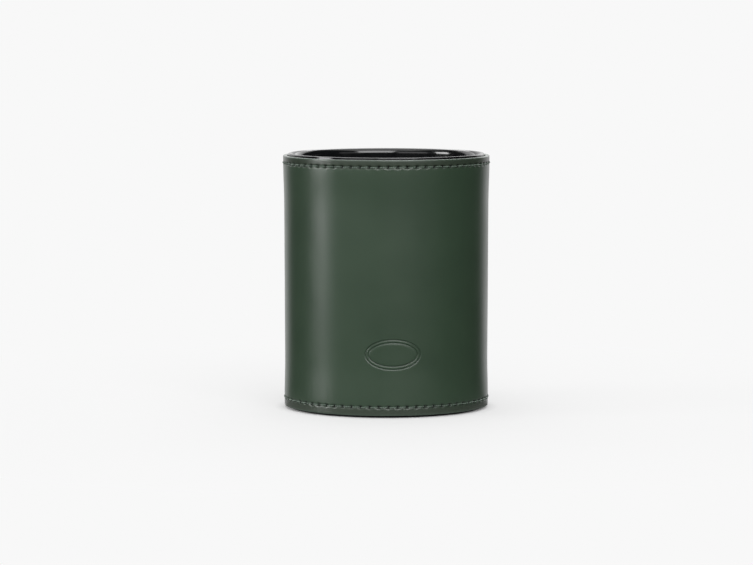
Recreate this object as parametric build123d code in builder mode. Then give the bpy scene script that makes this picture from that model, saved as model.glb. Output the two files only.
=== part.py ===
from build123d import *

import os
from math import degrees, radians, sin, sqrt, tan

# A round pencil cup: a glossy moulded liner in a stitched leather panel, on a thin non-slip pad.
# The panel is leather turned over a board at its top and bottom edges, sewn through, rolled
# round the liner on tape and closed by a butt seam at the back.
# Lengths are millimetres and angles degrees. The origin is the centre of the footprint on the
# desk, +Z is up, the stamped front faces -Y and the seam is on +Y.

# Overall size
overall_height = 100.0
body_diameter = 80.0  # across the leather, half way up
wall_draft = 0.25  # degrees, of the moulded liner, which the wrap follows

# Liner cup
liner_wall = 2.0
liner_floor = 2.5
lip_inner_share = 0.6  # of the wall, rounded off on the inside of the lip
lip_outer_share = 0.3
inner_corner_radius = 4.0
heel_radius = 0.8

# Base pad and its adhesive film
pad_thickness = 1.0
pad_inset = 0.4  # of the pad's edge from the liner's heel
pad_film = 0.1
pad_film_inset = 0.6  # of the film's edge from the pad's edge

# Layers of the wrap
leather = 0.8
turned_leather = 0.4  # the flap turned in at the edges, skived thin
board = 0.4

# Edges of the wrap
lip_rise = 0.8  # of the liner's lip above the leather
desk_gap = 0.9  # under the leather
hem_slack = 0.1  # room between a row's bobbin thread and the liner
tape_slack = 0.2  # room for the tape past the thickness of the bobbin thread beside it
tape_ease = 0.02  # by which the tape is thinner than its room
seam_gap = 0.3
seam_angle = 90.0  # where the seam is, from +X

# Stitching
needle_thread = 0.5
bobbin_thread = 0.3
stitch_length = 3.65
top_margin = 2.8  # from the leather's edge to the row
bottom_margin = 3.3
seam_margin = 3.0
leg_spread = 0.12  # of a stitch's leg from the middle of its hole, past half a thread
hole_clearance = 0.03
thread_ease = 0.03  # between a stitch and the face that it lies on
bend_share = 0.6  # of the thread's diameter, the radius to which it bends into a hole
tape_clearance = 2.0  # from the seam stitching to the end of the tape

# Blank oval stamp, pressed into the front
stamp_width = 22.0
stamp_height = 12.0
stamp_centre = 24.5  # above the desk
stamp_line = 0.5
stamp_depth = 0.2
stamp_ring_gap = 0.7  # between the two lines of the oval

cut_overrun = 1.0  # of a cutting tool past what it cuts

# Depths of the layers, measured outwards from the liner's surface
hem_room = bobbin_thread + hem_slack
tape = bobbin_thread + tape_slack
flap_outside = hem_room + turned_leather
hem_outside = flap_outside + board + leather
wall_outside = tape + board + leather

# Heights
liner_bottom = pad_thickness + pad_film
wrap_top = overall_height - lip_rise
wrap_bottom = desk_gap
fold_radius = (hem_outside - hem_room) / 2
upper_fold = wrap_top - fold_radius
lower_fold = wrap_bottom + fold_radius
top_row = wrap_top - top_margin
bottom_row = wrap_bottom + bottom_margin

# Upright stitches beside the seam. The turned hem ends at the first hole past the row, and the
# panel has settled onto the tape at the second, so that no stitch bridges a bend.
column_count = round((top_row - bottom_row) / stitch_length)
column_step = (top_row - bottom_row) / column_count
hole_heights = [bottom_row + column_step * i for i in range(column_count + 1)]
upper_hem_end = hole_heights[-2]
upper_ramp_end = hole_heights[-3]
lower_hem_end = hole_heights[1]
lower_ramp_end = hole_heights[2]

# Angles about the cup, from the seam
body_radius = body_diameter / 2
seam_half_angle = degrees(seam_gap / 2 / body_radius)
row_half_gap = degrees((seam_gap / 2 + seam_margin) / body_radius)
row_start = seam_angle + row_half_gap
row_arc = 360 - 2 * row_half_gap
row_count = round(radians(row_arc) * body_radius / stitch_length)
row_step = row_arc / row_count
wrap_arc = 360 - 2 * seam_half_angle
tape_half_gap = degrees((seam_gap / 2 + seam_margin + tape_clearance) / body_radius)
tape_arc = 360 - 2 * tape_half_gap

needle_offset = needle_thread / 2 + leg_spread
bobbin_offset = bobbin_thread / 2 + leg_spread
hole_radius = needle_offset + needle_thread / 2 + hole_clearance


def liner_radius(height):
    """Outside radius of the liner at a height. It grows upwards with the draft."""
    mid_radius = body_radius - wall_outside
    return mid_radius + (height - overall_height / 2) * tan(radians(wall_draft))


def at(depth, height):
    """Point of a section, at a depth outside the liner and a height."""
    return (liner_radius(height) + depth, height)


def board_inside(height):
    """Depth of the board's inner face: outside the flap at the hems, and on the tape between."""
    past_hem = min(upper_hem_end - height, height - lower_hem_end)
    settled = min(max(past_hem / column_step, 0), 1)
    return flap_outside + (tape - flap_outside) * settled


def panel_inside(height):
    """Depth of the panel's inner face: the flap's at the hems, and the board's between."""
    in_hem = height > upper_hem_end or height < lower_hem_end
    return hem_room if in_hem else board_inside(height)


def lock_radius(height):
    """Radius at which the needle and bobbin threads lock, in the middle of the board."""
    return liner_radius(height) + board_inside(height) + board / 2


def section_plane(half_gap):
    """Upright plane through the axis, half a gap past the seam, for a section that is revolved."""
    return Plane.XZ.rotated((0, 0, seam_angle + half_gap))


def stitch(points, thread):
    """One stitch, bent like a staple: a run along the panel, with a leg in the hole at each end."""
    with BuildPart() as bent:
        with BuildLine() as path:
            FilletPolyline(*points, radius=bend_share * thread)
        with BuildSketch(Plane(origin=path.line @ 0, z_dir=path.line % 0)):
            Circle(thread / 2)
        sweep()
    return bent.part


def row_stitch(height, thread, offset, run_radius):
    """Stitch of a level row, made at +X, with its run at a radius and its legs to the lock."""
    reach = (liner_radius(height) + hem_outside) * sin(radians(row_step / 2)) - offset
    lock = lock_radius(height)
    corners = ((lock, -reach), (run_radius, -reach), (run_radius, reach), (lock, reach))
    return stitch([(x, y, height) for x, y in corners], thread)


def needle_row(height):
    """Stitch on the outside of a level row. Its straight run is nearest the round leather midway."""
    run_radius = liner_radius(height) + hem_outside + thread_ease + needle_thread / 2
    return row_stitch(height, needle_thread, needle_offset, run_radius)


def bobbin_row(height):
    """Stitch on the inside of a level row, drawn in so that its ends clear the round flap."""
    inner = liner_radius(height) + hem_room - thread_ease - bobbin_thread / 2
    half_run = inner * sin(radians(row_step / 2))
    run_radius = sqrt(inner**2 - half_run**2)
    return row_stitch(height, bobbin_thread, bobbin_offset, run_radius)


def column_stitch(low, thread, offset, run_depth):
    """Upright stitch beside the seam, made at +X, from one hole's height to the next hole's."""
    bottom = low + offset
    top = low + column_step - offset
    corners = (
        (lock_radius(bottom), bottom),
        (liner_radius(bottom) + run_depth(bottom), bottom),
        (liner_radius(top) + run_depth(top), top),
        (lock_radius(top), top),
    )
    return stitch([(x, 0, z) for x, z in corners], thread)


def needle_depth(height):
    """Depth of the middle of an upright stitch that lies on the leather."""
    return board_inside(height) + board + leather + thread_ease + needle_thread / 2


def bobbin_depth(height):
    """Depth of the middle of an upright stitch that lies inside the panel."""
    return panel_inside(height) - thread_ease - bobbin_thread / 2


def needle_hole(height):
    """Cutter for one needle hole, made at +X, right through the panel at a height."""
    with BuildPart() as hole:
        with BuildSketch(Plane.YZ.offset(liner_radius(height))):
            with Locations((0, height)):
                Circle(hole_radius)
        extrude(amount=hem_outside + cut_overrun)
    return hole.part


# Glossy black liner, moulded in one piece with a rounded lip

with BuildPart() as liner_cup:
    with BuildSketch(Plane.XZ):
        with BuildLine():
            floor_top = liner_bottom + liner_floor
            Polyline(
                (0, liner_bottom),
                at(0, liner_bottom),
                at(0, overall_height),
                at(-liner_wall, overall_height),
                at(-liner_wall, floor_top),
                (0, floor_top),
                close=True,
            )
        make_face()
    revolve(axis=Axis.Z)
    fillet(liner_cup.edges().filter_by(GeomType.CIRCLE).group_by(Axis.Z)[0], heel_radius)
    floor_edge = liner_cup.edges().filter_by_position(Axis.Z, floor_top, floor_top)
    fillet(floor_edge, inner_corner_radius)
    fillet(liner_cup.edges().group_by(Axis.Z)[-1].sort_by(SortBy.RADIUS)[0], lip_inner_share * liner_wall)
    fillet(liner_cup.edges().group_by(Axis.Z)[-1].sort_by(SortBy.RADIUS)[-1], lip_outer_share * liner_wall)
liner_cup.part.label = "liner_cup"


# Non-slip pad under the liner, and the film that holds it

pad_radius = liner_radius(liner_bottom) - pad_inset

with BuildPart() as base_pad:
    with BuildSketch():
        Circle(pad_radius)
    extrude(amount=pad_thickness)
base_pad.part.label = "base_pad"

with BuildPart() as pad_tape:
    with BuildSketch(Plane.XY.offset(pad_thickness)):
        Circle(pad_radius - pad_film_inset)
    extrude(amount=pad_film)
pad_tape.part.label = "pad_tape"


# Needle holes, right through the panel, at both ends of every stitch

row_holes = [needle_hole(height) for height in (bottom_row, top_row)]
column_holes = [needle_hole(height) for height in hole_heights[1:-1]]

with BuildPart() as needle_holes:
    with PolarLocations(0, row_count + 1, row_start, row_arc, endpoint=True):
        add(row_holes)
    with PolarLocations(0, 2, seam_angle - row_half_gap, 2 * row_half_gap, endpoint=True):
        add(column_holes)


# Blank oval stamp: two lines, sunk to an even depth in the round leather

with BuildPart() as stamp:
    with BuildSketch(Plane.XZ):
        with Locations((0, stamp_centre)):
            for inset in (0, stamp_line + stamp_ring_gap):
                Ellipse(stamp_width / 2 - inset, stamp_height / 2 - inset)
                Ellipse(
                    stamp_width / 2 - inset - stamp_line,
                    stamp_height / 2 - inset - stamp_line,
                    mode=Mode.SUBTRACT,
                )
    extrude(amount=body_diameter)
    with BuildSketch(Plane.XZ):
        with BuildLine():
            Polyline(
                (0, 0),
                at(wall_outside - stamp_depth, 0),
                at(wall_outside - stamp_depth, overall_height),
                (0, overall_height),
                close=True,
            )
        make_face()
    revolve(axis=Axis.Z, mode=Mode.SUBTRACT)


# Leather: one panel, its edges turned in to make the hems

with BuildPart() as leather_wrap:
    with BuildSketch(section_plane(seam_half_angle)):
        with BuildLine():
            fold_middle = hem_room + fold_radius
            skin_inside = flap_outside + board
            ThreePointArc(at(hem_room, upper_fold), at(fold_middle, wrap_top), at(hem_outside, upper_fold))
            Polyline(
                at(hem_outside, upper_fold),
                at(hem_outside, upper_hem_end),
                at(wall_outside, upper_ramp_end),
                at(wall_outside, lower_ramp_end),
                at(hem_outside, lower_hem_end),
                at(hem_outside, lower_fold),
            )
            ThreePointArc(at(hem_outside, lower_fold), at(fold_middle, wrap_bottom), at(hem_room, lower_fold))
            Polyline(
                at(hem_room, lower_fold),
                at(hem_room, lower_hem_end),
                at(flap_outside, lower_hem_end),
                at(flap_outside, wrap_bottom + leather),
                at(skin_inside, wrap_bottom + leather),
                at(skin_inside, lower_hem_end),
                at(tape + board, lower_ramp_end),
                at(tape + board, upper_ramp_end),
                at(skin_inside, upper_hem_end),
                at(skin_inside, wrap_top - leather),
                at(flap_outside, wrap_top - leather),
                at(flap_outside, upper_hem_end),
                at(hem_room, upper_hem_end),
                at(hem_room, upper_fold),
            )
        make_face()
    revolve(axis=Axis.Z, revolution_arc=wrap_arc)
    add(needle_holes.part, mode=Mode.SUBTRACT)
    add(stamp.part, mode=Mode.SUBTRACT)
leather_wrap.part.label = "leather_wrap"


# Board that stiffens the panel, with the leather turned round its edges

with BuildPart() as stiffener_board:
    with BuildSketch(section_plane(seam_half_angle)):
        with BuildLine():
            Polyline(
                at(flap_outside, wrap_bottom + leather),
                at(flap_outside + board, wrap_bottom + leather),
                at(flap_outside + board, lower_hem_end),
                at(tape + board, lower_ramp_end),
                at(tape + board, upper_ramp_end),
                at(flap_outside + board, upper_hem_end),
                at(flap_outside + board, wrap_top - leather),
                at(flap_outside, wrap_top - leather),
                at(flap_outside, upper_hem_end),
                at(tape, upper_ramp_end),
                at(tape, lower_ramp_end),
                at(flap_outside, lower_hem_end),
                close=True,
            )
        make_face()
    revolve(axis=Axis.Z, revolution_arc=wrap_arc)
    add(needle_holes.part, mode=Mode.SUBTRACT)
stiffener_board.part.label = "stiffener_board"


# Double-sided tape between the liner and the panel, clear of the hems and the seam

with BuildPart() as wrap_tape:
    with BuildSketch(section_plane(tape_half_gap)):
        with BuildLine():
            Polyline(
                at(0, lower_ramp_end),
                at(tape - tape_ease, lower_ramp_end),
                at(tape - tape_ease, upper_ramp_end),
                at(0, upper_ramp_end),
                close=True,
            )
        make_face()
    revolve(axis=Axis.Z, revolution_arc=tape_arc)
wrap_tape.part.label = "wrap_tape"


# Stitches of the two level rows, the needle thread outside and the bobbin thread inside

top_needle_stitch = needle_row(top_row)
bottom_needle_stitch = needle_row(bottom_row)
top_bobbin_stitch = bobbin_row(top_row)
bottom_bobbin_stitch = bobbin_row(bottom_row)
stitch_angles = PolarLocations(0, row_count, row_start + row_step / 2, row_arc - row_step, endpoint=True)

with BuildPart() as top_needle_thread:
    with stitch_angles:
        add(top_needle_stitch)
top_needle_thread.part.label = "top_needle_thread"

with BuildPart() as bottom_needle_thread:
    with stitch_angles:
        add(bottom_needle_stitch)
bottom_needle_thread.part.label = "bottom_needle_thread"

with BuildPart() as top_bobbin_thread:
    with stitch_angles:
        add(top_bobbin_stitch)
top_bobbin_thread.part.label = "top_bobbin_thread"

with BuildPart() as bottom_bobbin_thread:
    with stitch_angles:
        add(bottom_bobbin_stitch)
bottom_bobbin_thread.part.label = "bottom_bobbin_thread"


# Stitches of the two upright columns, one each side of the seam

seam_needle_stitches = [
    column_stitch(low, needle_thread, needle_offset, needle_depth) for low in hole_heights[:-1]
]
seam_bobbin_stitches = [
    column_stitch(low, bobbin_thread, bobbin_offset, bobbin_depth) for low in hole_heights[:-1]
]

with BuildPart() as seam_needle_thread:
    with PolarLocations(0, 2, seam_angle - row_half_gap, 2 * row_half_gap, endpoint=True):
        add(seam_needle_stitches)
seam_needle_thread.part.label = "seam_needle_thread"

with BuildPart() as seam_bobbin_thread:
    with PolarLocations(0, 2, seam_angle - row_half_gap, 2 * row_half_gap, endpoint=True):
        add(seam_bobbin_stitches)
seam_bobbin_thread.part.label = "seam_bobbin_thread"


pieces = (
    liner_cup,
    base_pad,
    pad_tape,
    leather_wrap,
    stiffener_board,
    wrap_tape,
    top_needle_thread,
    top_bobbin_thread,
    bottom_needle_thread,
    bottom_bobbin_thread,
    seam_needle_thread,
    seam_bobbin_thread,
)
os.makedirs("parts", exist_ok=True)
for piece in pieces:
    export_step(piece.part, f"parts/{piece.part.label}.step")
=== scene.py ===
import math

import bpy
import numpy as np
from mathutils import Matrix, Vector


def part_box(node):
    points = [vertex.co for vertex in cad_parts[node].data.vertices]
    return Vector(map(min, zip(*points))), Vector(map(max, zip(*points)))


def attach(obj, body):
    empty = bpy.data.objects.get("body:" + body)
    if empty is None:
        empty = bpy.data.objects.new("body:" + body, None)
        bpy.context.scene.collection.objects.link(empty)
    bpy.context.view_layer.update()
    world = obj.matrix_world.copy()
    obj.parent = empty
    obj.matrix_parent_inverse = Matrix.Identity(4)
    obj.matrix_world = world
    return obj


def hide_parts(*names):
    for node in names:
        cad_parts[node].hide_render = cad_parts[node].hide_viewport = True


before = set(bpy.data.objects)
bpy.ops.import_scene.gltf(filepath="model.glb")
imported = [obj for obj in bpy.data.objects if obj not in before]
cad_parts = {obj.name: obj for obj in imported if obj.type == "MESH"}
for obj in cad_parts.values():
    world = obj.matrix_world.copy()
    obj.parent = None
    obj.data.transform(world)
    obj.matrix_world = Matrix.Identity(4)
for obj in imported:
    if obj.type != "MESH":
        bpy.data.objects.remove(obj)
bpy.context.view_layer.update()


# Liner cup: the tumbler that the leather panel is wrapped round, injection moulded in black ABS.
# The mould gives it a soft gloss, and the mould's draft makes it a little wider at the lip.

MM = 0.001
liner_draft = math.tan(math.radians(0.25))
liner_wall = 2.0 * MM
liner_floor = 2.5 * MM
lip_inner_width, lip_inner_depth = 1.45 * MM, 2.0 * MM
lip_outer_radius = 0.4 * MM
inner_corner_radius = 4.0 * MM
heel_radius = 0.8 * MM
liner_low, liner_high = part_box("liner_cup")
liner_bottom, cup_height = liner_low.z, liner_high.z
liner_mid_radius = liner_high.x - (cup_height / 2 - lip_outer_radius) * liner_draft


def liner_radius(height):
    """Outside radius of the liner: the radius half way up, plus the draft times the height above that."""
    return liner_mid_radius + (height - cup_height / 2) * liner_draft


def arc(centre, width, depth, start, stop, steps=10):
    """Points on an ellipse: the centre plus the half width times the cosine and the half depth times the
    sine of even angles, in degrees."""
    turn = np.radians(np.linspace(start, stop, steps))
    return np.column_stack((centre[0] + width * np.cos(turn), centre[1] + depth * np.sin(turn)))


def liner_profile():
    """Half section of the liner from the middle of its underside, up the outside, over the lip and down
    the inside: straight runs, with an arc at the heel, both sides of the lip and the inner corner."""
    ease = 0.4 * MM
    floor_top = liner_bottom + liner_floor
    heel = (liner_radius(liner_bottom) - heel_radius, liner_bottom + heel_radius)
    outer = (liner_radius(cup_height) - lip_outer_radius, cup_height - lip_outer_radius)
    inner = (liner_radius(cup_height) - liner_wall + lip_inner_width, cup_height - lip_inner_depth)
    corner = (liner_radius(floor_top) - liner_wall - inner_corner_radius, floor_top + inner_corner_radius)
    wall_ends = np.array([heel[1] + ease, outer[1] - ease])
    bore_ends = np.array([inner[1] - ease, corner[1] + ease])
    return np.vstack((
        (0, liner_bottom),
        (heel[0] - ease, liner_bottom),
        arc(heel, heel_radius, heel_radius, -90, 0),
        np.column_stack((liner_radius(wall_ends), wall_ends)),
        arc(outer, lip_outer_radius, lip_outer_radius, 0, 90),
        arc(inner, lip_inner_width, lip_inner_depth, 90, 180, 20),
        np.column_stack((liner_radius(bore_ends) - liner_wall, bore_ends)),
        arc(corner, inner_corner_radius, inner_corner_radius, 0, -90),
        (corner[0] - ease, floor_top),
        (0, floor_top),
    ))


def turned(profile, columns):
    """Surface of revolution: each (radius, height) of the profile is carried round +Z in even steps.
    The first and last points lie on the axis and are single poles. Returns points and faces."""
    turn = np.linspace(0, 2 * np.pi, columns, endpoint=False)
    radius, height = profile[1:-1].T
    rings = np.stack((
        np.outer(radius, np.cos(turn)),
        np.outer(radius, np.sin(turn)),
        np.repeat(height[:, None], columns, 1),
    ), -1)
    poles = [(0, 0, profile[0, 1]), (0, 0, profile[-1, 1])]
    index = np.arange(rings.shape[0] * columns).reshape(-1, columns)
    beside = np.roll(index, -1, 1)
    first, last = index.size, index.size + 1
    quads = np.stack((index[:-1], beside[:-1], beside[1:], index[1:]), -1).reshape(-1, 4)
    start_fan = np.column_stack((np.full(columns, first), beside[0], index[0]))
    end_fan = np.column_stack((np.full(columns, last), index[-1], beside[-1]))
    return np.vstack((rings.reshape(-1, 3), poles)), quads.tolist() + start_fan.tolist() + end_fan.tolist()


def piece(name, points, faces, material, *nodes):
    """A smooth-shaded mesh piece from its points and faces. It stands for CAD nodes and rides on the cup."""
    mesh = bpy.data.meshes.new(name)
    mesh.from_pydata(points.tolist(), [], faces)
    mesh.polygons.foreach_set("use_smooth", np.ones(len(mesh.polygons), bool))
    mesh.update()
    mesh.materials.append(material)
    made = bpy.data.objects.new(name, mesh)
    bpy.context.collection.objects.link(made)
    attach(made, "root")
    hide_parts(*nodes)
    return made


def colour(hex_code):
    """Linear colour of an sRGB hex code: each channel by the sRGB curve, with full alpha."""
    channels = np.array([int(hex_code[i:i + 2], 16) for i in (1, 3, 5)]) / 255
    linear = np.where(channels <= 0.04045, channels / 12.92, ((channels + 0.055) / 1.055) ** 2.4)
    return (*linear.tolist(), 1.0)


def add_node(tree, kind, sockets=None, **settings):
    """One node: settings are its properties, and a socket takes a value, or a link from (node, output)."""
    made = tree.nodes.new("ShaderNode" + kind)
    for name, value in settings.items():
        setattr(made, name, value)
    for name, value in (sockets or {}).items():
        if isinstance(value, tuple) and isinstance(value[0], bpy.types.Node):
            tree.links.new(value[0].outputs[value[1]], made.inputs[name])
        else:
            made.inputs[name].default_value = value
    return made


def new_material(name):
    """An empty node material with its output. Returns the material, its tree and the output node."""
    made = bpy.data.materials.new(name)
    made.use_nodes = True
    made.node_tree.nodes.clear()
    return made, made.node_tree, made.node_tree.nodes.new("ShaderNodeOutputMaterial")


# Black ABS with a soft gloss: nearly black, with the faint waviness and haze of a moulding.
abs_black, tree, out = new_material("abs_black_soft_gloss")
place = add_node(tree, "TexCoord")
waviness = add_node(
    tree, "TexNoise", {"Vector": (place, "Object"), "Scale": 1 / (9.0 * MM), "Detail": 2.0}
)
haze = add_node(
    tree, "TexNoise", {"Vector": (place, "Object"), "Scale": 1 / (1.6 * MM), "Detail": 5.0, "Roughness": 0.6}
)
gloss = add_node(
    tree,
    "MapRange",
    {"Value": (haze, "Fac"), "From Min": 0.3, "From Max": 0.75, "To Min": 0.10, "To Max": 0.16},
)
tint = add_node(
    tree, "MixRGB", {"Fac": (haze, "Fac"), "Color1": colour("#08090A"), "Color2": colour("#0E0F10")}
)
ripple = add_node(
    tree, "Bump", {"Height": (waviness, "Fac"), "Strength": 0.06, "Distance": 0.3 * MM}
)
skin = add_node(
    tree,
    "BsdfPrincipled",
    {
        "Base Color": (tint, "Color"),
        "Roughness": (gloss, "Result"),
        "IOR": 1.54,
        "Normal": (ripple, "Normal"),
    },
)
tree.links.new(skin.outputs["BSDF"], out.inputs["Surface"])

points, faces = turned(liner_profile(), 288)
liner = piece("liner_cup_moulding", points, faces, abs_black, "liner_cup")


# Tape, board and film: the layers that no one sees once the cup is made. The panel is stiffened with
# grey millboard, rolled onto double-sided tape, and the pad is held by a film of the same adhesive.

# Uncoated grey millboard: matt, and flecked with the fibres of its pulp.
grey_board, tree, out = new_material("grey_millboard")
place = add_node(tree, "TexCoord")
fibres = add_node(
    tree, "TexNoise", {"Vector": (place, "Object"), "Scale": 1 / (0.8 * MM), "Detail": 6.0, "Roughness": 0.7}
)
pulp = add_node(
    tree, "MixRGB", {"Fac": (fibres, "Fac"), "Color1": colour("#8B867C"), "Color2": colour("#A7A297")}
)
felt = add_node(tree, "Bump", {"Height": (fibres, "Fac"), "Strength": 0.4, "Distance": 0.05 * MM})
sheet = add_node(
    tree, "BsdfPrincipled", {"Base Color": (pulp, "Color"), "Roughness": 0.9, "Normal": (felt, "Normal")}
)
tree.links.new(sheet.outputs["BSDF"], out.inputs["Surface"])

# Acrylic adhesive film: pale and a little glossy, with the streaks of its coating.
adhesive, tree, out = new_material("acrylic_adhesive_film")
place = add_node(tree, "TexCoord")
streaks = add_node(
    tree, "TexNoise", {"Vector": (place, "Object"), "Scale": 1 / (4.0 * MM), "Detail": 3.0}
)
glue = add_node(
    tree, "MixRGB", {"Fac": (streaks, "Fac"), "Color1": colour("#D8D5CB"), "Color2": colour("#E6E3DA")}
)
film = add_node(tree, "BsdfPrincipled", {"Base Color": (glue, "Color"), "Roughness": 0.35, "IOR": 1.47})
tree.links.new(film.outputs["BSDF"], out.inputs["Surface"])


def dress(node, material):
    """Gives a CAD node's own object a material."""
    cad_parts[node].data.materials.clear()
    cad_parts[node].data.materials.append(material)


dress("stiffener_board", grey_board)
dress("wrap_tape", adhesive)
dress("pad_tape", adhesive)


# Leather panel: one piece of smooth green-dyed calf, its top and bottom edges turned in over the board
# and sewn down, then wrapped round the liner so that its two ends meet in a butt seam at the back.
# The hems are pressed flat, a little thicker than the wall, and the stitches draw the leather in.

leather = 0.8 * MM
turned_leather = 0.4 * MM
board = 0.4 * MM
tape = 0.5 * MM
hem_room = 0.4 * MM
seam_gap = 0.3 * MM  # as cut, which the lines of stitches are set out from
seam_open = 0.04 * MM  # as drawn, with the ends pushed together
seam_margin = 3.0 * MM
body_radius = liner_mid_radius + tape + board + leather
panel_low, panel_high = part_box("leather_wrap")
wrap_bottom, wrap_top = panel_low.z, panel_high.z
top_row = sum(corner.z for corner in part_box("top_needle_thread")) / 2
bottom_row = sum(corner.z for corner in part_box("bottom_needle_thread")) / 2

flap_outside = hem_room + turned_leather
skin_inside = flap_outside + board
hem_outside = skin_inside + leather
wall_outside = tape + board + leather
fold_radius = (hem_outside - hem_room) / 2

stitch_length = 3.65 * MM
seam_turn = seam_open / 2 / body_radius
row_turn = (seam_gap / 2 + seam_margin) / body_radius
row_count = round((2 * np.pi - 2 * row_turn) * body_radius / stitch_length)
row_step = (2 * np.pi - 2 * row_turn) / row_count
column_count = round((top_row - bottom_row) / stitch_length)
column_step = (top_row - bottom_row) / column_count
lower_hem_end, upper_hem_end = bottom_row + column_step, top_row - column_step

hem_ease = 16.0 * MM
pit_length, pit_width, pit_depth = 0.85 * MM, 0.52 * MM, 0.6 * MM
# Painted shade: a hole is painted dark, to stand for the shadow in it.
pit_shade = 1.4  # before it is clipped, so that the middle of a hole is all dark
furrow_width, furrow_depth = 0.4 * MM, 0.06 * MM
pucker_length, pucker_reach, pucker_depth = 0.8 * MM, 1.2 * MM, 0.04 * MM
groove_width, groove_depth = 0.18 * MM, 0.16 * MM
# Painted shade in the seam's groove, as a share of a hole's.
groove_shade = 0.7
drift_height = 0.02 * MM
drift_waves = ((1.0, 5, 38, 0.4), (0.7, 9, -71, 2.1), (0.5, 16, 120, 4.0))


def smooth(share):
    """Smooth step: 3 times the square of the clipped share, less 2 times its cube."""
    share = np.clip(share, 0, 1)
    return share * share * (3 - 2 * share)


def panel_depth(height):
    """How far the leather's face stands off the liner: the hem's thickness from each edge to the row of
    stitches, easing by a long smooth step from there to the wall's."""
    past_row = np.minimum(top_row - height, height - bottom_row)
    return hem_outside + (wall_outside - hem_outside) * smooth(past_row / hem_ease)


def sewn(along, across):
    """Painted shade at the holes of stitching and how far stitching draws the leather in, from the distance
    along a row to the nearest hole and across it: a steep oval pit, a furrow under the thread and a shallow,
    wide pucker."""
    spread = (along / pit_length) ** 2 + (across / pit_width) ** 2
    shade = np.minimum(pit_shade * np.exp(-spread), 1)
    pit = np.exp(-spread ** 2)
    furrow = np.exp(-(across / furrow_width) ** 2)
    pucker = np.exp(-(along / pucker_length) ** 2 - (across / pucker_reach) ** 2)
    return shade, pit_depth * pit + furrow_depth * furrow + pucker_depth * pucker


def to_nearest(offset, step, count):
    """Distance from an offset to the nearest of count + 1 even marks that start at zero."""
    return offset - step * np.clip(np.round(offset / step), 0, count)


def drawn_in(turn, height):
    """Painted hole shade and inward draw of all four lines of stitches, at angles past the seam and heights.
    """
    round_row = to_nearest(turn - row_turn, row_step, row_count) * body_radius
    up_column = to_nearest(height - bottom_row, column_step, column_count)
    to_row_end = np.minimum(turn, 2 * np.pi - turn) - row_turn
    inside_rows = smooth(to_row_end / row_step + 1)
    to_column_end = np.minimum(height - bottom_row, top_row - height)
    between = smooth(to_column_end / column_step + 1)
    lines = [
        (*sewn(round_row, height - top_row), inside_rows),
        (*sewn(round_row, height - bottom_row), inside_rows),
        (*sewn(up_column, to_row_end * body_radius), between),
    ]
    pit = np.maximum.reduce([line[0] for line in lines])
    draw = np.maximum.reduce([line[1] * line[2] for line in lines])
    return pit, draw


def drift(turn, height):
    """Slow unevenness of hide and glue: a sum of a few long sine waves, each with its share, its number of
    waves round the panel, its radians per metre up it and its start."""
    waves = sum(
        size * np.sin(count * turn + rise * height + start) for size, count, rise, start in drift_waves
    )
    return drift_height * waves / sum(wave[0] for wave in drift_waves)


def groove_share(turn, height):
    """Share of the groove where the rounded ends meet: a bell across the seam that fades out at the folds."""
    from_seam = np.minimum(turn, 2 * np.pi - turn) * body_radius
    past_fold = np.minimum(wrap_top - height, height - wrap_bottom) - fold_radius
    return np.exp(-(from_seam / groove_width) ** 2) * smooth(past_fold / fold_radius)


def surface(turn, height):
    """Point of the leather's face: a cone about +Z at the panel's depth, less the draw of the stitches and
    the seam's groove, at an angle that is measured from the seam on +Y. Painted shade is laid in the holes
    and the groove. Returns the points and their painted shade."""
    pit, draw = drawn_in(turn, height)
    groove = groove_share(turn, height)
    # The seam's groove is given painted shade as well, for the shadow in it.
    pit = np.maximum(pit, groove_shade * groove)
    draw = draw + groove_depth * groove
    radius = liner_radius(height) + panel_depth(height) - draw + drift(turn, height)
    angle = np.pi / 2 + turn
    return np.stack((radius * np.cos(angle), radius * np.sin(angle), height + 0 * turn), -1), pit


# Columns of the panel's grid: close together beside each hole and at the cut ends, wider between.
stitch_shares = np.array([0, 0.06, 0.14, 0.28, 0.5, 0.72, 0.86, 0.94])
end_arcs = np.array([0, 0.12, 0.25, 0.45, 1.3, 2.1, 2.55, 2.75, 2.9]) * MM
row_columns = (row_turn + row_step * (np.arange(row_count)[:, None] + stitch_shares)).ravel()
start_columns = seam_turn + end_arcs / body_radius
columns = np.concatenate((
    start_columns,
    row_columns,
    [2 * np.pi - row_turn],
    2 * np.pi - start_columns[::-1],
))

# Rows of its face, from the bottom fold up to the top fold. All the columns have the rows of the hems, of
# the pitch next to each hem and of the stamp's zone. Only those beside the seam have every row of the wall.
pitch_shares = np.array([0, 0.06, 0.13, 0.25, 0.5, 0.75, 0.87, 0.94])
row_offsets = np.array([-1.5, -1.05, -0.75, -0.5, -0.3, -0.15, 0, 0.15, 0.3, 0.5, 0.75, 1.05, 1.5]) * MM
stamp_centre = 24.5 * MM
stamp_pitches = range(3, 8)
wall_marks = bottom_row + column_step * (np.arange(1, column_count - 1)[:, None] + pitch_shares)
wall_kept = np.zeros(wall_marks.shape, bool)
wall_kept[:, 0] = True
wall_kept[[0, -1], 1::2] = True
wall_kept[[0, -1], 4] = True
wall_kept[np.array(stamp_pitches) - 1, 3:6] = True
hem_top = np.linspace(upper_hem_end, top_row - row_offsets[-1], 4)[:-1]
hem_bottom = np.linspace(bottom_row + row_offsets[-1], lower_hem_end, 4)[:-1]
face_heights = np.concatenate((
    bottom_row + row_offsets,
    hem_bottom[1:],
    wall_marks.ravel(),
    hem_top,
    top_row + row_offsets,
))
face_kept = np.concatenate((
    np.ones(len(row_offsets) + len(hem_bottom) - 1, bool),
    wall_kept.ravel(),
    np.ones(len(hem_top) + len(row_offsets), bool),
))


fold_steps = 18


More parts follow.
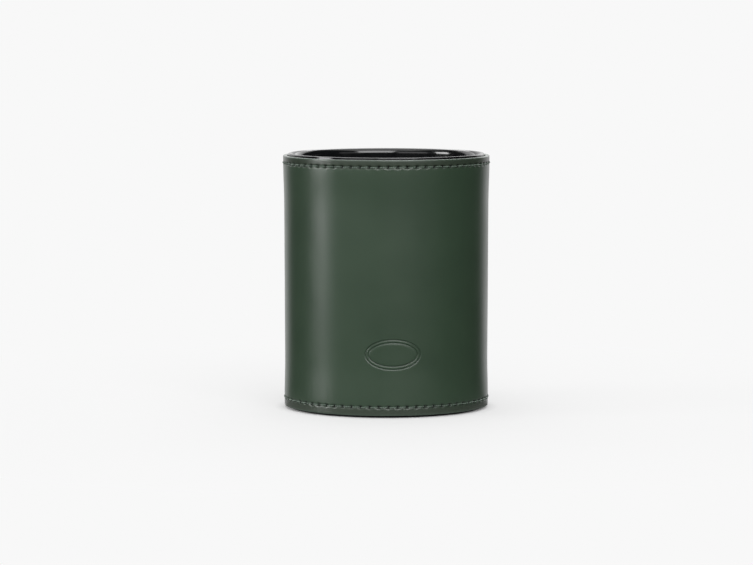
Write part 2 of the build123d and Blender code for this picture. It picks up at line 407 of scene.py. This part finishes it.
def fold(centre_height, direction):
    """Depths and heights round a folded edge: half of a squarish oval as thick as the hem, with the cube
    roots of the cosine and sine, from the outside in for the top (direction 1) or the inside out (-1)."""
    turn = np.radians(np.linspace(0, 180, fold_steps)[1:])[::direction]
    across = np.cbrt(np.cos(turn))
    up = np.cbrt(abs(np.sin(turn)))
    depths = hem_room + fold_radius * (1 + across)
    return np.column_stack((depths, centre_height + direction * fold_radius * up))


# Section of the rest of the panel, in depth and height: over the top fold, down inside the flap, round
# the pocket that holds the board, and under the bottom fold back to the face.
upper_fold, lower_fold = wrap_top - fold_radius, wrap_bottom + fold_radius
pocket = np.array([
    (hem_room, upper_hem_end),
    (flap_outside, upper_hem_end),
    (flap_outside, wrap_top - leather),
    (skin_inside, wrap_top - leather),
    (skin_inside, upper_hem_end),
    (tape + board, upper_hem_end - column_step),
    (tape + board, lower_hem_end + column_step),
    (skin_inside, lower_hem_end),
    (skin_inside, wrap_bottom + leather),
    (flap_outside, wrap_bottom + leather),
    (flap_outside, lower_hem_end),
    (hem_room, lower_hem_end),
])
back = np.vstack((fold(upper_fold, 1), pocket, fold(lower_fold, -1)))
face_heights = np.concatenate(([lower_fold], face_heights, [upper_fold]))
kept = np.concatenate(([True], face_kept, np.ones(1 + len(back), bool)))

face, face_hole_shade = surface(columns[None, :], face_heights[:, None])
back_radius = (liner_radius(back[:, 1]) + back[:, 0])[:, None]
back_points = np.stack((
    back_radius * np.cos(np.pi / 2 + columns),
    back_radius * np.sin(np.pi / 2 + columns),
    np.repeat(back[:, 1:], len(columns), 1),
), -1)
loop = np.concatenate((face, back_points))
painted_hole_shades = np.concatenate((face_hole_shade, np.zeros(back_points.shape[:2])))

# The grid's cells. Beside the seam every row is used. Elsewhere only the kept rows are, and a cell on the
# border takes in the extra points of its finer neighbour. The stamp's zone is left open for its own patch.
strip = len(start_columns) + 3
strip_end = len(columns) - 1 - strip
index = np.arange(loop.shape[0] * loop.shape[1]).reshape(loop.shape[:2])
after = np.roll(index, -1, 0)
fine = np.stack((index[:, :-1], index[:, 1:], after[:, 1:], after[:, :-1]), -1)
faces = fine[:, :strip].reshape(-1, 4).tolist() + fine[:, strip_end:].reshape(-1, 4).tolist()
rows = np.flatnonzero(kept)
next_rows = np.roll(rows, -1)
middle = np.arange(strip + 1, strip_end - 1)
coarse = np.stack((
    index[rows][:, middle],
    index[rows][:, middle + 1],
    index[next_rows][:, middle + 1],
    index[next_rows][:, middle],
), -1)
stitch_columns = len(stitch_shares)
front = len(start_columns) + (row_count // 2) * stitch_columns + stitch_columns // 2
stamp_reach = 4 * stitch_columns  # four stitches to each side of the front
stamp_low = np.argmin(abs(face_heights - bottom_row - column_step * stamp_pitches[0]))
stamp_high = np.argmin(abs(face_heights - bottom_row - column_step * (stamp_pitches[-1] + 1)))
in_stamp = np.outer(
    (rows >= stamp_low) & (rows < stamp_high),
    (middle >= front - stamp_reach) & (middle < front + stamp_reach),
)
faces += coarse[~in_stamp].tolist()
for low, high in zip(rows, next_rows):
    between = np.arange(low + 1, high)
    faces.append([
        index[low, strip], index[low, strip + 1], index[high, strip + 1], index[high, strip],
        *index[between[::-1], strip],
    ])
    faces.append([
        index[low, strip_end - 1], index[low, strip_end], *index[between, strip_end],
        index[high, strip_end], index[high, strip_end - 1],
    ])
faces.append(index[:, 0].tolist())
faces.append(index[::-1, -1].tolist())

# Blank stamp: a plain double oval, pressed into the front of the panel with a heated die. Its patch runs
# in spokes from the border of the zone to the middle, so that its rings follow the pressed lines.
stamp_width = 22.0 * MM
stamp_height = 12.0 * MM
stamp_line = 0.5 * MM
stamp_gap = 0.7 * MM
stamp_depth = 0.24 * MM
stamp_rows = rows[(rows >= stamp_low) & (rows <= stamp_high)]
left, right = front - stamp_reach, front + stamp_reach
border = np.concatenate((
    index[stamp_low, left:right],
    index[stamp_rows[:-1], right],
    index[stamp_high, right:left:-1],
    index[stamp_rows[:0:-1], left],
))
border_turn = np.concatenate((
    columns[left:right],
    np.full(len(stamp_rows) - 1, columns[right]),
    columns[right:left:-1],
    np.full(len(stamp_rows) - 1, columns[left]),
))
border_height = loop.reshape(-1, 3)[border, 2]
half = np.array([stamp_width, stamp_height]) / 2
border_place = np.column_stack(((border_turn - columns[front]) * body_radius, border_height - stamp_centre))
spoke = np.arctan2(border_place[:, 1] / half[1], border_place[:, 0] / half[0])
direction = np.column_stack((np.cos(spoke), np.sin(spoke)))
line_middles = np.array([0.5, 1.5]) * stamp_line + np.array([0, stamp_gap])
line_shares = np.array([-0.75, -0.5, -0.3, -0.1, 0.1, 0.3, 0.5, 0.75])
insets = (line_middles[:, None] + line_shares * stamp_line).ravel()
rim = direction * (half + stamp_line)
outer_rings = [border_place + share * (rim - border_place) for share in (0.35, 0.7, 1.0)]
line_rings = [direction * (half - inset) for inset in insets]
inner_rings = [direction * (half - insets[-1]) * share for share in (0.85, 0.6, 0.35, 0.12)]
rings = np.array(outer_rings + line_rings + inner_rings)
line_press = stamp_depth * (1 - smooth((abs(line_shares) - 0.1) / 0.5))
pressed = np.concatenate((
    np.zeros(len(outer_rings)),
    np.tile(line_press, len(line_middles)),
    np.zeros(len(inner_rings)),
))
stamp_turn = columns[front] + rings[..., 0] / body_radius
stamp_points, _ = surface(stamp_turn, stamp_centre + rings[..., 1])
outward = stamp_points * (1, 1, 0) / np.linalg.norm(stamp_points[..., :2], axis=-1, keepdims=True)
stamp_points = stamp_points - outward * pressed[:, None, None]
pole, _ = surface(columns[front], stamp_centre + np.zeros(1))
ring_index = index.size + np.arange(rings[..., 0].size).reshape(rings.shape[:2])
ring_index = np.concatenate((border[None], ring_index))
beside = np.roll(ring_index, -1, 1)
faces += np.stack((ring_index[:-1], beside[:-1], beside[1:], ring_index[1:]), -1).reshape(-1, 4).tolist()
centre = ring_index.max() + 1
faces += np.column_stack((ring_index[-1], beside[-1], np.full(len(border), centre))).tolist()

# Points that no cell uses are dropped.
points = np.vstack((loop.reshape(-1, 3), stamp_points.reshape(-1, 3), pole.reshape(-1, 3)))
painted_hole_shades = np.concatenate((painted_hole_shades.ravel(), np.zeros(len(points) - painted_hole_shades.size)))
pressing = np.concatenate((np.zeros(index.size), np.repeat(pressed / stamp_depth, len(border)), [0]))
used = np.unique(np.concatenate([np.asarray(face).ravel() for face in faces]))
renumber = np.zeros(len(points), int)
renumber[used] = np.arange(len(used))
faces = [renumber[face].tolist() for face in faces]
points, painted_hole_shades, pressing = points[used], painted_hole_shades[used], pressing[used]

# Smooth dyed calf, lightly polished: an even deep green with the slow mottling of a hide and a satin shine.
# It is painted greyer on the hems as painted shade, and pale and shiny where the folds rub, a paleness that
# is partly wear and partly painted highlight. The stamp is dark, and the holes are dark with painted shade.
# The grain, about 0.2 mm in a real hide, is drawn at 0.55 mm so that it shows close up.
calf, tree, out = new_material("calf_leather_green_smooth")
place = add_node(tree, "TexCoord")
mottle = add_node(
    tree,
    "TexNoise",
    {"Vector": (place, "Object"), "Scale": 1 / (16.0 * MM), "Detail": 4.0, "Roughness": 0.55},
)
dye = add_node(
    tree, "MixRGB", {"Fac": (mottle, "Fac"), "Color1": colour("#314033"), "Color2": colour("#354636")}
)
grain = add_node(
    tree,
    "TexVoronoi",
    {"Vector": (place, "Object"), "Scale": 1 / (0.55 * MM), "Randomness": 0.95},
    feature="DISTANCE_TO_EDGE",
)
creases = add_node(
    tree, "MapRange", {"Value": (grain, "Distance"), "From Max": 0.28, "To Min": 0.0, "To Max": 1.0}
)
pores = add_node(
    tree, "TexNoise", {"Vector": (place, "Object"), "Scale": 1 / (0.25 * MM), "Detail": 3.0, "Roughness": 0.6}
)
hide = add_node(
    tree, "MixRGB", {"Fac": 0.35, "Color1": (creases, "Result"), "Color2": (pores, "Fac")}
)
crease_tint = add_node(
    tree, "MapRange", {"Value": (hide, "Color"), "To Min": 0.95, "To Max": 1.02}
)
# Painted shade: the hems are painted greyer, for the shade on them.
hem = add_node(tree, "Attribute", attribute_name="turned_hem")
hem_shaded = add_node(
    tree, "MixRGB", {"Fac": (hem, "Fac"), "Color1": (dye, "Color"), "Color2": colour("#333C32")}
)
grained = add_node(
    tree,
    "MixRGB",
    {"Fac": 1.0, "Color1": (hem_shaded, "Color"), "Color2": (crease_tint, "Result")},
    blend_type="MULTIPLY",
)
# Partly wear and partly painted highlight: the folded edges are painted paler, in part for the light their
# rounded edges catch. Their shine is real roughness.
fold_wear_highlight = add_node(tree, "Attribute", attribute_name="folded_edge")
wear_highlight_share = add_node(tree, "Math", {0: (fold_wear_highlight, "Fac"), 1: (pores, "Fac")}, operation="MULTIPLY")
worn_and_highlit = add_node(
    tree, "MixRGB", {"Fac": (wear_highlight_share, "Value"), "Color1": (grained, "Color"), "Color2": colour("#55645A")}
)
# Painted shade: the holes and the seam's groove are painted near black, where shadow falls in them.
hole = add_node(tree, "Attribute", attribute_name="needle_hole")
holes_shaded = add_node(
    tree, "MixRGB", {"Fac": (hole, "Fac"), "Color1": (worn_and_highlit, "Color"), "Color2": colour("#070A08")}
)
die = add_node(tree, "Attribute", attribute_name="pressed_line")
die_share = add_node(tree, "Math", {0: (die, "Fac"), 1: 0.35}, operation="MULTIPLY")
marked = add_node(
    tree, "MixRGB", {"Fac": (die_share, "Value"), "Color1": (holes_shaded, "Color"), "Color2": colour("#232F27")}
)
satin = add_node(
    tree,
    "MapRange",
    {"Value": (mottle, "Fac"), "From Min": 0.3, "From Max": 0.7, "To Min": 0.285, "To Max": 0.33},
)
shine = add_node(
    tree, "MixRGB", {"Fac": (fold_wear_highlight, "Fac"), "Color1": (satin, "Result"), "Color2": (0.2, 0.2, 0.2, 1.0)}
)
dulled = add_node(
    tree, "MixRGB", {"Fac": (hole, "Fac"), "Color1": (shine, "Color"), "Color2": (0.75, 0.75, 0.75, 1.0)}
)
relief = add_node(
    tree, "Bump", {"Height": (hide, "Color"), "Strength": 0.25, "Distance": 0.03 * MM}
)
finish = add_node(
    tree,
    "BsdfPrincipled",
    {
        "Base Color": (marked, "Color"),
        "Roughness": (dulled, "Color"),
        "IOR": 1.5,
        "Normal": (relief, "Normal"),
    },
)
tree.links.new(finish.outputs["BSDF"], out.inputs["Surface"])

panel = piece("leather_panel", points, faces, calf, "leather_wrap")
# Masks: the folded edges, partly wear and partly painted highlight, and the hems' painted shade.
rub_reach = 0.7 * MM
hem_shade_start, hem_shade_fade = 2.0 * MM, 1.4 * MM
edge_distance = np.minimum(wrap_top - points[:, 2], points[:, 2] - wrap_bottom)
folds = 1 - smooth(edge_distance / rub_reach)
hem_shade_share = 1 - smooth((edge_distance - hem_shade_start) / hem_shade_fade)
marks = {"needle_hole": painted_hole_shades, "pressed_line": pressing, "folded_edge": folds, "turned_hem": hem_shade_share}
for name, values in marks.items():
    panel.data.attributes.new(name, "FLOAT", "POINT").data.foreach_set("value", values.astype(np.float32))
panel.data.set_sharp_from_angle(angle=math.radians(50))


# Needle stitches: twisted polyester sewing thread, a shade lighter than the leather. Each stitch lies in
# its furrow, bends down into a needle hole at both ends, and leans a little, as a lockstitch does.

thread_width = 0.52 * MM
thread_height = 0.46 * MM
thread_rise = 0.08 * MM
dive = 2.0 * MM
lean, lean_spread = 0.12 * MM, 0.3
stray = 0.03 * MM
ply_pitch = 0.9 * MM
thread_sides = 6
length_shares = np.array([0.08, 0.13, 0.2, 0.32, 0.5, 0.68, 0.8, 0.87, 0.92])


def stitch_heights(shares):
    """Height of a stitch's middle over the leather: the rise, less the dive times the fourth power of how
    far along from the middle to the end it is."""
    return thread_rise - dive * abs(2 * shares - 1) ** 4


def tubes(middles, across, outward):
    """Tubes round rows of points: at each point an ellipse, the thread's width across and its height
    outward, in even steps round. All three arrays are stitches by points by 3."""
    round_turn = np.arange(thread_sides) * 2 * np.pi / thread_sides
    wide = thread_width / 2 * np.cos(round_turn)[:, None]
    high = thread_height / 2 * np.sin(round_turn)[:, None]
    return middles[:, :, None] + across[:, :, None] * wide + outward[:, :, None] * high


def tube_faces(count, rings):
    """Faces of that many tubes: quads round each, from one ring to the next, and a cap at both ends."""
    index = np.arange(count * rings * thread_sides).reshape(count, rings, thread_sides)
    beside = np.roll(index, -1, 2)
    quads = np.stack((index[:, :-1], beside[:, :-1], beside[:, 1:], index[:, 1:]), -1)
    caps = np.concatenate((index[:, 0, ::-1], index[:, -1]))
    return quads.reshape(-1, 4).tolist() + caps.tolist()


def polar(turn, radius, height):
    """Points at an angle past the seam, a radius and a height."""
    angle = np.pi / 2 + turn
    return np.stack((radius * np.cos(angle), radius * np.sin(angle), height), -1)


def wander(shares, uneven):
    """Offset of a stitch across its line: the lean times how far along from the middle it is, uneven from
    stitch to stitch, plus a small stray of the whole stitch."""
    return lean * (2 * shares - 1) * (1 + lean_spread * uneven[0]) + stray * uneven[1]


def row_tubes(row_height, seed):
    """Stitches of a level row: points between two holes, lifted off the leather and leaning, with a little
    unevenness from stitch to stitch."""
    uneven = np.random.default_rng(seed).normal(0, 1, (2, row_count, 1))
    shares = length_shares[None]
    turn = row_turn + row_step * (np.arange(row_count)[:, None] + shares)
    height = row_height + wander(shares, uneven)
    lift = stitch_heights(shares)
    radius = liner_radius(height) + panel_depth(height) + lift
    middles = polar(turn, radius, height)
    slope = np.gradient(lift[0], shares[0] * row_step * body_radius)[None, :, None]
    radial = polar(turn, 1 + 0 * turn, 0 * turn)
    forward = polar(turn + np.pi / 2, 1 + 0 * turn, 0 * turn)
    outward = (radial - slope * forward) / np.sqrt(1 + slope ** 2)
    across = np.broadcast_to((0.0, 0.0, 1.0), middles.shape)
    return tubes(middles, across, outward)


def column_tubes(side, seed):
    """Stitches of an upright column on one side of the seam (1 or -1), made as those of a row are."""
    uneven = np.random.default_rng(seed).normal(0, 1, (2, column_count, 1))
    shares = length_shares[None]
    height = bottom_row + column_step * (np.arange(column_count)[:, None] + shares)
    turn = side * (row_turn + wander(shares, uneven) / body_radius)
    lift = stitch_heights(shares)
    middles = polar(turn, liner_radius(height) + panel_depth(height) + lift, height)
    slope = np.gradient(lift[0], shares[0] * column_step)[None, :, None]
    radial = polar(turn, 1 + 0 * turn, 0 * turn)
    forward = polar(turn + np.pi / 2, 1 + 0 * turn, 0 * turn)
    outward = (radial - slope * (0.0, 0.0, 1.0)) / np.sqrt(1 + slope ** 2)
    return tubes(middles, -forward, outward)


# Twisted polyester: three plies that wind round the thread, each catching the light on its crown, where it is
# also painted lighter as a painted highlight.
polyester, tree, out = new_material("polyester_thread_twisted")
lay = add_node(tree, "UVMap", uv_map="twist")
plies = add_node(
    tree, "TexWave", {"Vector": (lay, "UV"), "Scale": math.pi / 10}, bands_direction="X", wave_profile="SIN"
)
ply_painted_highlight = add_node(
    tree, "MixRGB", {"Fac": (plies, "Fac"), "Color1": colour("#3A493D"), "Color2": colour("#546358")}
)
wound = add_node(tree, "Bump", {"Height": (plies, "Fac"), "Strength": 0.8, "Distance": 0.08 * MM})
sewing = add_node(
    tree,
    "BsdfPrincipled",
    {
        "Base Color": (ply_painted_highlight, "Color"),
        "Roughness": 0.55,
        "IOR": 1.5,
        "Sheen Weight": 0.12,
        "Normal": (wound, "Normal"),
    },
)
tree.links.new(sewing.outputs["BSDF"], out.inputs["Surface"])


def sew(name, stitches, node):
    """One piece of all the stitches of a node, with the plies' lay as UV: turns of a ply along the thread
    plus the share of the way round, so that one ply is one unit across."""
    count, rings = stitches.shape[:2]
    faces = tube_faces(count, rings)
    made = piece(name, stitches.reshape(-1, 3), faces, polyester, node)
    along = np.linalg.norm(np.diff(stitches.mean(2), axis=1), axis=-1).cumsum(1)
    along = np.concatenate((np.zeros((count, 1)), along), 1) / ply_pitch
    start = np.arange(thread_sides) / thread_sides
    stop = start + 1 / thread_sides
    lay = np.stack((
        along[:, :-1, None] + start, along[:, :-1, None] + stop,
        along[:, 1:, None] + stop, along[:, 1:, None] + start,
    ), -1)
    cap_lay = np.concatenate((along[:, :1] + start[::-1], along[:, -1:] + start))
    turns = np.concatenate((lay.ravel(), cap_lay.ravel()))
    uv = made.data.uv_layers.new(name="twist")
    uv.data.foreach_set("uv", np.column_stack((turns, 0 * turns)).ravel())


sew("top_stitches", row_tubes(top_row, 1), "top_needle_thread")
sew("bottom_stitches", row_tubes(bottom_row, 2), "bottom_needle_thread")
sew("seam_stitches", np.concatenate((column_tubes(1, 3), column_tubes(-1, 4))), "seam_needle_thread")


# Bobbin stitches: the under thread of the lockstitch, inside the panel, where only its ends would show
# through the needle holes.

# Fine polyester: matt and linty, a little darker than the needle thread.
bobbin, tree, out = new_material("polyester_bobbin_thread")
place = add_node(tree, "TexCoord")
lint = add_node(tree, "TexNoise", {"Vector": (place, "Object"), "Scale": 1 / (0.3 * MM), "Detail": 3.0})
under = add_node(
    tree, "MixRGB", {"Fac": (lint, "Fac"), "Color1": colour("#2E3A31"), "Color2": colour("#3D4A40")}
)
under_thread = add_node(tree, "BsdfPrincipled", {"Base Color": (under, "Color"), "Roughness": 0.6})
tree.links.new(under_thread.outputs["BSDF"], out.inputs["Surface"])
for node in ("top_bobbin_thread", "bottom_bobbin_thread", "seam_bobbin_thread"):
    dress(node, bobbin)


# Base pad: a disc die cut from black EVA foam sheet, stuck under the liner so that the cup doesn't slide.
# It keeps the leather's folded edge just off the desk, and shows as a thin dark line.

pad_low, pad_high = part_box("base_pad")
pad_edge = 0.15 * MM
pad_profile = np.vstack((
    (0, pad_low.z),
    (pad_high.x - 4 * pad_edge, pad_low.z),
    arc((pad_high.x - pad_edge, pad_low.z + pad_edge), pad_edge, pad_edge, -90, 0, 5),
    arc((pad_high.x - pad_edge, pad_high.z - pad_edge), pad_edge, pad_edge, 0, 90, 5),
    (pad_high.x - 4 * pad_edge, pad_high.z),
    (0, pad_high.z),
))

# Closed-cell EVA: matt black with fine cut cells, drawn at 0.35 mm, coarser than real, so that they show.
eva, tree, out = new_material("eva_foam_black")
place = add_node(tree, "TexCoord")
cells = add_node(
    tree, "TexVoronoi", {"Vector": (place, "Object"), "Scale": 1 / (0.35 * MM)}, feature="F1"
)
foam = add_node(
    tree, "MixRGB", {"Fac": (cells, "Distance"), "Color1": colour("#0C0C0C"), "Color2": colour("#1A1A1A")}
)
cut_cells = add_node(tree, "Bump", {"Height": (cells, "Distance"), "Strength": 0.5, "Distance": 0.06 * MM})
pad_finish = add_node(
    tree,
    "BsdfPrincipled",
    {"Base Color": (foam, "Color"), "Roughness": 0.85, "Normal": (cut_cells, "Normal")},
)
tree.links.new(pad_finish.outputs["BSDF"], out.inputs["Surface"])

points, faces = turned(pad_profile, 192)
pad = piece("base_pad_foam", points, faces, eva, "base_pad")


# Floor: a sheet of matt white paper that runs to the horizon. Close to the cup it is lit by the lamps and
# takes the shadow. Further off it fades, by the steps of white_shares, into the white of its own light. The
# camera sees that light all round, and reflections see it only behind the cup.

floor_half = 40.0
paper_white, paper_lit = "#F8F8F8", "#CACACA"
white_reach = 0.24
white_shares = ((0.038, 0.15), (0.044, 0.60), (0.07, 0.70), (0.15, 0.86), (white_reach, 1.0))
lit_start, lit_end = -0.02, 0.085
behind_turn = math.radians(6.0)
behind_from, behind_to = 0.68, 0.89
straight_back = (math.sin(behind_turn), math.cos(behind_turn), 0.0)


def white_seen(tree, heading):
    """Nodes for the strength of the studio's own white: 1 for the camera, and for mirrored rays the share
    by which a heading, linked from (node, output), points behind the cup. Returns strength and rays."""
    rays = add_node(tree, "LightPath")
    rearward = add_node(tree, "VectorMath", {0: heading, 1: straight_back}, operation="DOT_PRODUCT")
    behind = add_node(
        tree, "MapRange", {"Value": (rearward, "Value"), "From Min": behind_from, "From Max": behind_to}
    )
    mirrored = add_node(
        tree, "Math", {0: (rays, "Is Glossy Ray"), 1: (rays, "Is Transmission Ray")}, operation="MAXIMUM"
    )
    backdrop = add_node(
        tree, "Math", {0: (behind, "Result"), 1: (mirrored, "Value")}, operation="MULTIPLY"
    )
    strength = add_node(
        tree, "Math", {0: (rays, "Is Camera Ray"), 1: (backdrop, "Value")}, operation="MAXIMUM"
    )
    return strength, rays


# Matt paper: plain white, with no shine of its own.
paper, tree, out = new_material("paper_matt_white")
place = add_node(tree, "TexCoord")
from_cup = add_node(tree, "VectorMath", {0: (place, "Object")}, operation="LENGTH")
reach_share = add_node(tree, "Math", {0: (from_cup, "Value"), 1: white_reach}, operation="DIVIDE")
far = add_node(tree, "ValToRGB", {"Fac": (reach_share, "Value")})
while len(far.color_ramp.elements) < len(white_shares):
    far.color_ramp.elements.new(1.0)
for stop, (distance, white_share) in zip(far.color_ramp.elements, white_shares):
    stop.position = distance / white_reach
    stop.color = (white_share, white_share, white_share, 1.0)
side = add_node(tree, "VectorMath", {0: (place, "Object")}, operation="SIGN")
wall_side = add_node(
    tree, "VectorMath", {0: (side, "Vector"), 1: (body_radius, 0.0, 0.0)}, operation="MULTIPLY"
)
from_wall = add_node(
    tree, "VectorMath", {0: (place, "Object"), 1: (wall_side, "Vector")}, operation="SUBTRACT"
)
heading = add_node(tree, "VectorMath", {0: (from_wall, "Vector")}, operation="NORMALIZE")
own_strength, rays = white_seen(tree, (heading, "Vector"))
beyond = add_node(
    tree, "MapRange", {"Value": (from_cup, "Value"), "From Min": lit_start, "From Max": lit_end}
)
share = add_node(
    tree, "MixRGB", {"Fac": (rays, "Is Camera Ray"), "Color1": (beyond, "Result"), "Color2": (far, "Color")}
)
lit = add_node(tree, "BsdfDiffuse", {"Color": colour(paper_lit)})
own_light = add_node(tree, "Emission", {"Color": colour(paper_white), "Strength": (own_strength, "Value")})
floor_mix = add_node(
    tree, "MixShader", {"Fac": (share, "Color"), 1: (lit, "BSDF"), 2: (own_light, "Emission")}
)
tree.links.new(floor_mix.outputs["Shader"], out.inputs["Surface"])
floor_mesh = bpy.data.meshes.new("floor")
floor_corners = np.array([(-1, -1, 0), (1, -1, 0), (1, 1, 0), (-1, 1, 0)]) * floor_half
floor_mesh.from_pydata(floor_corners.tolist(), [], [(0, 1, 2, 3)])
floor_mesh.materials.append(paper)
floor = bpy.data.objects.new("floor", floor_mesh)
bpy.context.collection.objects.link(floor)


# Studio: a dark room with a white backdrop behind the cup, a tall softbox at its left, a broad front light
# with a weak fill on each side of it, a large soft light overhead, and three lamps behind the cup, which
# edge the leather and the lip with light.

world = bpy.data.worlds.new("studio")
bpy.context.scene.world = world
world.use_nodes = True
world.node_tree.nodes.clear()
tree = world.node_tree
place = add_node(tree, "TexCoord")
seen, _ = white_seen(tree, (place, "Generated"))
room = add_node(tree, "Background", {"Color": colour(paper_white), "Strength": 0.03})
white = add_node(tree, "Background", {"Color": colour(paper_white), "Strength": 1.0})
walls = add_node(
    tree, "MixShader", {"Fac": (seen, "Value"), 1: (room, "Background"), 2: (white, "Background")}
)
add_node(tree, "OutputWorld", {"Surface": (walls, "Shader")})
middle_of_cup = Vector((0.0, 0.0, cup_height / 2))


def softbox(name, turn, rise, distance, width, height, power):
    """A rectangular lamp that faces the cup's middle, at an angle round it from the front, positive to the
    right, and an angle above it, in degrees, metres and watts. The camera doesn't see it."""
    lamp = bpy.data.lights.new(name, "AREA")
    lamp.shape = "RECTANGLE"
    lamp.size, lamp.size_y, lamp.energy = width, height, power
    made = bpy.data.objects.new(name, lamp)
    bpy.context.collection.objects.link(made)
    turn, rise = math.radians(turn), math.radians(rise)
    away = Vector((math.sin(turn) * math.cos(rise), -math.cos(turn) * math.cos(rise), math.sin(rise)))
    made.location = middle_of_cup + away * distance
    made.rotation_mode = "QUATERNION"
    made.rotation_quaternion = away.to_track_quat("Z", "Y")
    made.visible_camera = False


softbox("softbox_left", -80.5, 13, 2.0, 0.66, 1.00, 21.5)
softbox("front_light", 10, 27, 2.0, 1.60, 1.20, 37.5)
softbox("fill_left", -38, 13, 2.0, 1.40, 0.90, 5.2)
softbox("fill_right", 44, 13, 2.0, 1.00, 0.90, 1.4)
softbox("overhead", 0, 84, 1.0, 1.3, 1.3, 10.0)
softbox("back_light", 180, 42, 1.0, 0.70, 0.35, 4.0)
softbox("rear_left", -138, 24, 1.0, 0.50, 0.60, 1.6)
softbox("rear_right", 142, 24, 1.0, 0.50, 0.60, 1.6)


# Camera: a long lens, a little above the cup's middle, framed as the photograph is, which is 753 by 565
# pixels. The stamped front is turned slightly to the right.

image_width = 753
focal_pixels = 3564.4
camera_distance = 1.4035
camera_turn = math.radians(-3.75)
camera_rise = math.radians(4.958)
picture_shift = np.array([-9.77, -2.77]) / image_width
lens = bpy.data.cameras.new("camera")
lens.sensor_width = 36.0
lens.lens = focal_pixels / image_width * lens.sensor_width
lens.shift_x, lens.shift_y = picture_shift.tolist()
lens.clip_end = 5 * floor_half
camera = bpy.data.objects.new("camera", lens)
bpy.context.collection.objects.link(camera)
back_off = Vector((
    math.sin(camera_turn) * math.cos(camera_rise),
    -math.cos(camera_turn) * math.cos(camera_rise),
    math.sin(camera_rise),
))
camera.location = middle_of_cup + back_off * camera_distance
camera.rotation_mode = "QUATERNION"
camera.rotation_quaternion = back_off.to_track_quat("Z", "Y")
bpy.context.scene.camera = camera
bpy.context.scene.view_settings.view_transform = "Standard"
